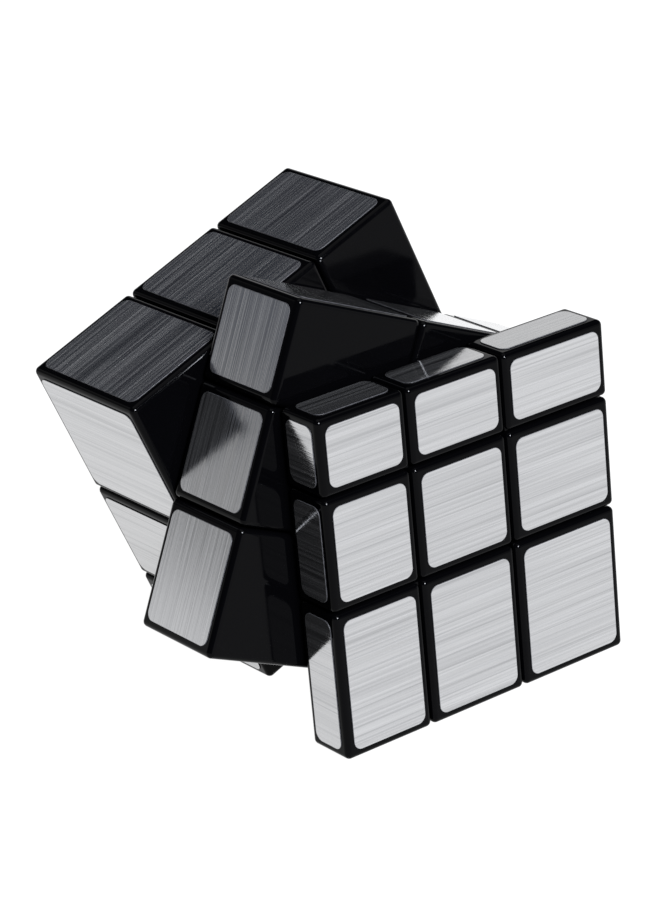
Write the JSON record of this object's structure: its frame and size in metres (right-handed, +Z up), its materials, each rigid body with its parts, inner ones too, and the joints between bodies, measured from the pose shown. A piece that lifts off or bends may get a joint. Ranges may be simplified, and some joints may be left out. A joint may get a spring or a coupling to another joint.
{
  "type": "mirror block twisting puzzle",
  "caption": "Glossy black twisting block puzzle with layers of unequal thickness and brushed silver foil faces, left half twisted and standing on three of its corners.",
  "frame": {"origin": "middle of the bounding box, at its base: the level of the surface that the puzzle stands on", "axes": "+Z up as the half-twisted puzzle stands on one corner of each layer; the two turning layers face -Y (thin front layer) and +Y (thick rear layer), with the turning axis in the YZ plane, 4 degrees off level"},
  "size_m": [0.0766, 0.0626, 0.0779],
  "materials": {
    "black_plastic": "polished moulded ABS",
    "brushed_foil": "brushed metallised foil, semi-gloss",
    "core_plastic": "moulded nylon",
    "steel": "zinc-plated, satin"
  },
  "bodies": {
    "middle_slice": {"edge_top_left": "black_plastic", "edge_top_left_cap": "black_plastic", "centre_top": "black_plastic", "centre_top_cap": "black_plastic", "edge_top_right": "black_plastic", "edge_top_right_cap": "black_plastic", "centre_left": "black_plastic", "centre_left_cap": "black_plastic", "centre_right": "black_plastic", "centre_right_cap": "black_plastic", "edge_bottom_left": "black_plastic", "edge_bottom_left_cap": "black_plastic", "centre_bottom": "black_plastic", "centre_bottom_cap": "black_plastic", "edge_bottom_right": "black_plastic", "edge_bottom_right_cap": "black_plastic", "middle_slice_stickers": "brushed_foil", "core": "core_plastic", "core_screws": "steel", "core_springs": "steel", "core_washers": "steel"},
    "front_layer": {"corner_front_top_left": "black_plastic", "corner_front_top_left_cap": "black_plastic", "edge_front_top": "black_plastic", "edge_front_top_cap": "black_plastic", "corner_front_top_right": "black_plastic", "corner_front_top_right_cap": "black_plastic", "edge_front_left": "black_plastic", "edge_front_left_cap": "black_plastic", "centre_front": "black_plastic", "centre_front_cap": "black_plastic", "edge_front_right": "black_plastic", "edge_front_right_cap": "black_plastic", "corner_front_bottom_left": "black_plastic", "corner_front_bottom_left_cap": "black_plastic", "edge_front_bottom": "black_plastic", "edge_front_bottom_cap": "black_plastic", "corner_front_bottom_right": "black_plastic", "corner_front_bottom_right_cap": "black_plastic", "front_layer_stickers": "brushed_foil"},
    "rear_layer": {"corner_rear_top_left": "black_plastic", "corner_rear_top_left_cap": "black_plastic", "edge_rear_top": "black_plastic", "edge_rear_top_cap": "black_plastic", "corner_rear_top_right": "black_plastic", "corner_rear_top_right_cap": "black_plastic", "edge_rear_left": "black_plastic", "edge_rear_left_cap": "black_plastic", "centre_rear": "black_plastic", "centre_rear_cap": "black_plastic", "edge_rear_right": "black_plastic", "edge_rear_right_cap": "black_plastic", "corner_rear_bottom_left": "black_plastic", "corner_rear_bottom_left_cap": "black_plastic", "edge_rear_bottom": "black_plastic", "edge_rear_bottom_cap": "black_plastic", "corner_rear_bottom_right": "black_plastic", "corner_rear_bottom_right_cap": "black_plastic", "rear_layer_stickers": "brushed_foil"}
  },
  "joints": [
    {"name": "front_turn", "type": "hinge", "parent": "middle_slice", "child": "front_layer", "pos_m": [0.00428, -0.00975, 0.03622], "axis": [0, -0.9975, 0.0709], "continuous": true},
    {"name": "rear_turn", "type": "hinge", "parent": "middle_slice", "child": "rear_layer", "pos_m": [0.00428, -0.00975, 0.03622], "axis": [0, 0.9975, -0.0709], "continuous": true}
  ]
}
